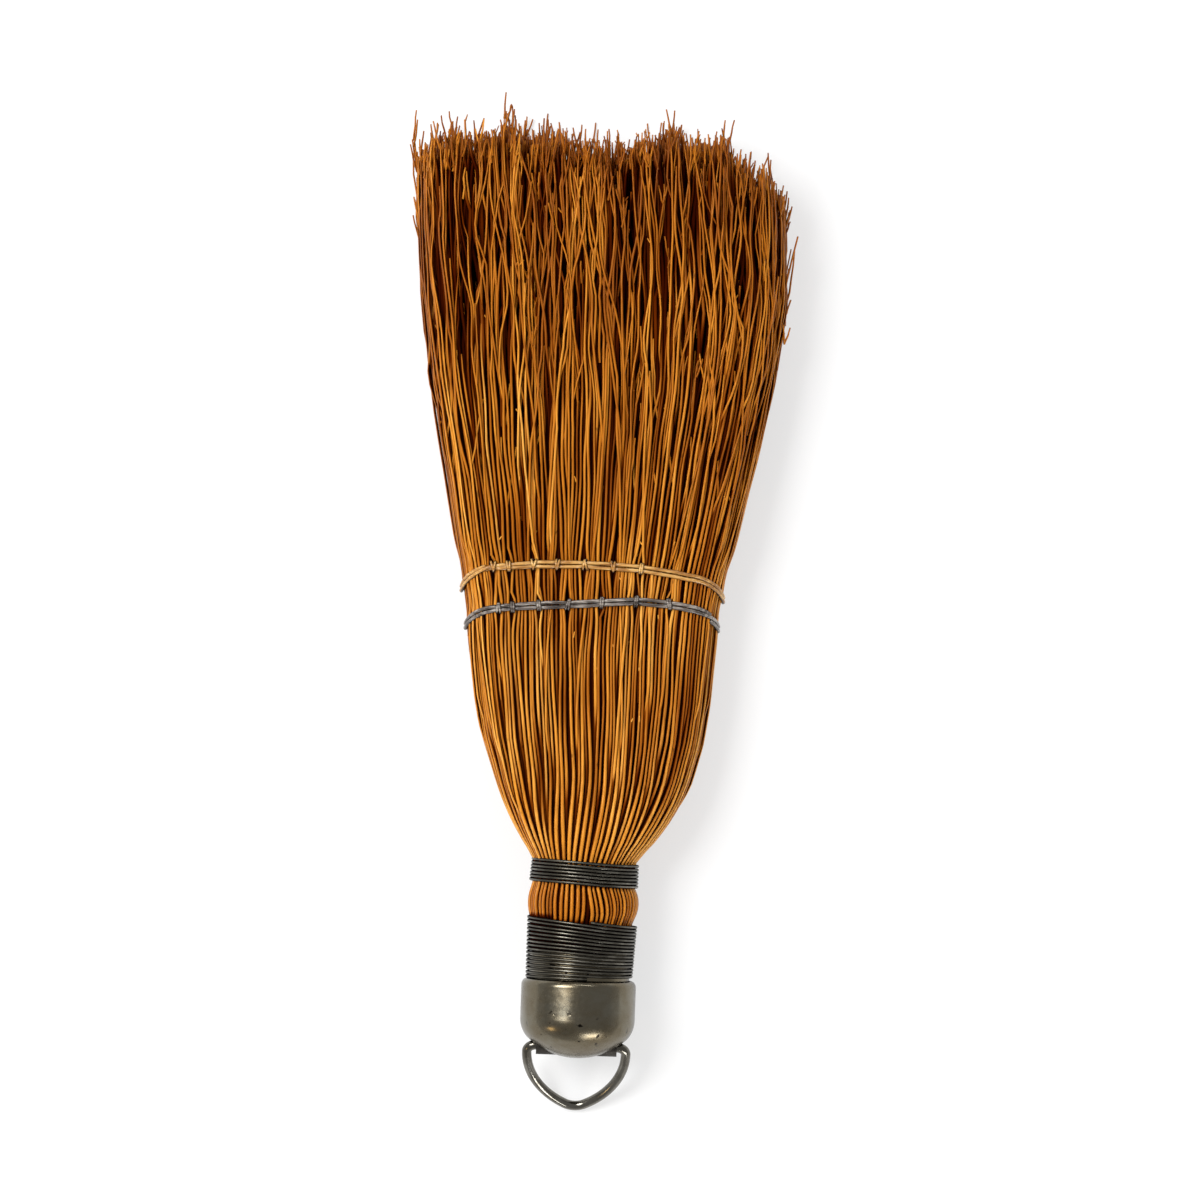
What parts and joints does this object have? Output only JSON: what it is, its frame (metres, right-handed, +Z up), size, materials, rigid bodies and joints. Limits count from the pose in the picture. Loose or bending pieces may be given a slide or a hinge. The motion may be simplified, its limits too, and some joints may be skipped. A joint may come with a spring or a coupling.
{
  "type": "whisk broom",
  "caption": "Hand broom with a flat sewn fan of natural straw, a wire-bound neck, a domed metal end cap and a swinging hanging ring.",
  "frame": {"origin": "middle of the outline on the table under the broom", "axes": "+Y from the cap to the straw tips, +Z up from the table through the flat of the fan, +X to the right"},
  "size_m": [0.1122, 0.2996, 0.0344],
  "materials": {
    "straw": "dry golden-brown stalks, satin",
    "cap_metal": "tarnished nickel plate, softly polished",
    "sleeve_steel": "dark worn steel",
    "ring_wire": "tarnished wire",
    "binding_wire": "dull dark broom wire",
    "grey_twine": "grey twisted twine",
    "tan_twine": "natural twisted twine"
  },
  "bodies": {
    "broom": {"back_cover_straws": "straw", "back_under_straws": "straw", "core_straws": "straw", "core_tie": "binding_wire", "end_cap": "cap_metal", "front_cover_straws": "straw", "front_under_straws": "straw", "handle_winding": "binding_wire", "hinge_sleeve": "sleeve_steel", "left_shoulder_straws": "straw", "lower_band": "grey_twine", "lower_stitching": "grey_twine", "neck_winding": "binding_wire", "right_shoulder_straws": "straw", "upper_band": "tan_twine", "upper_stitching": "tan_twine"},
    "ring": {"hanging_ring": "ring_wire"}
  },
  "joints": [
    {"name": "ring_swing", "type": "hinge", "parent": "broom", "child": "ring", "pos_m": [0, -0.13005, 0.0172], "axis": [1, 0, 0], "range_deg": [-140, 59]}
  ]
}
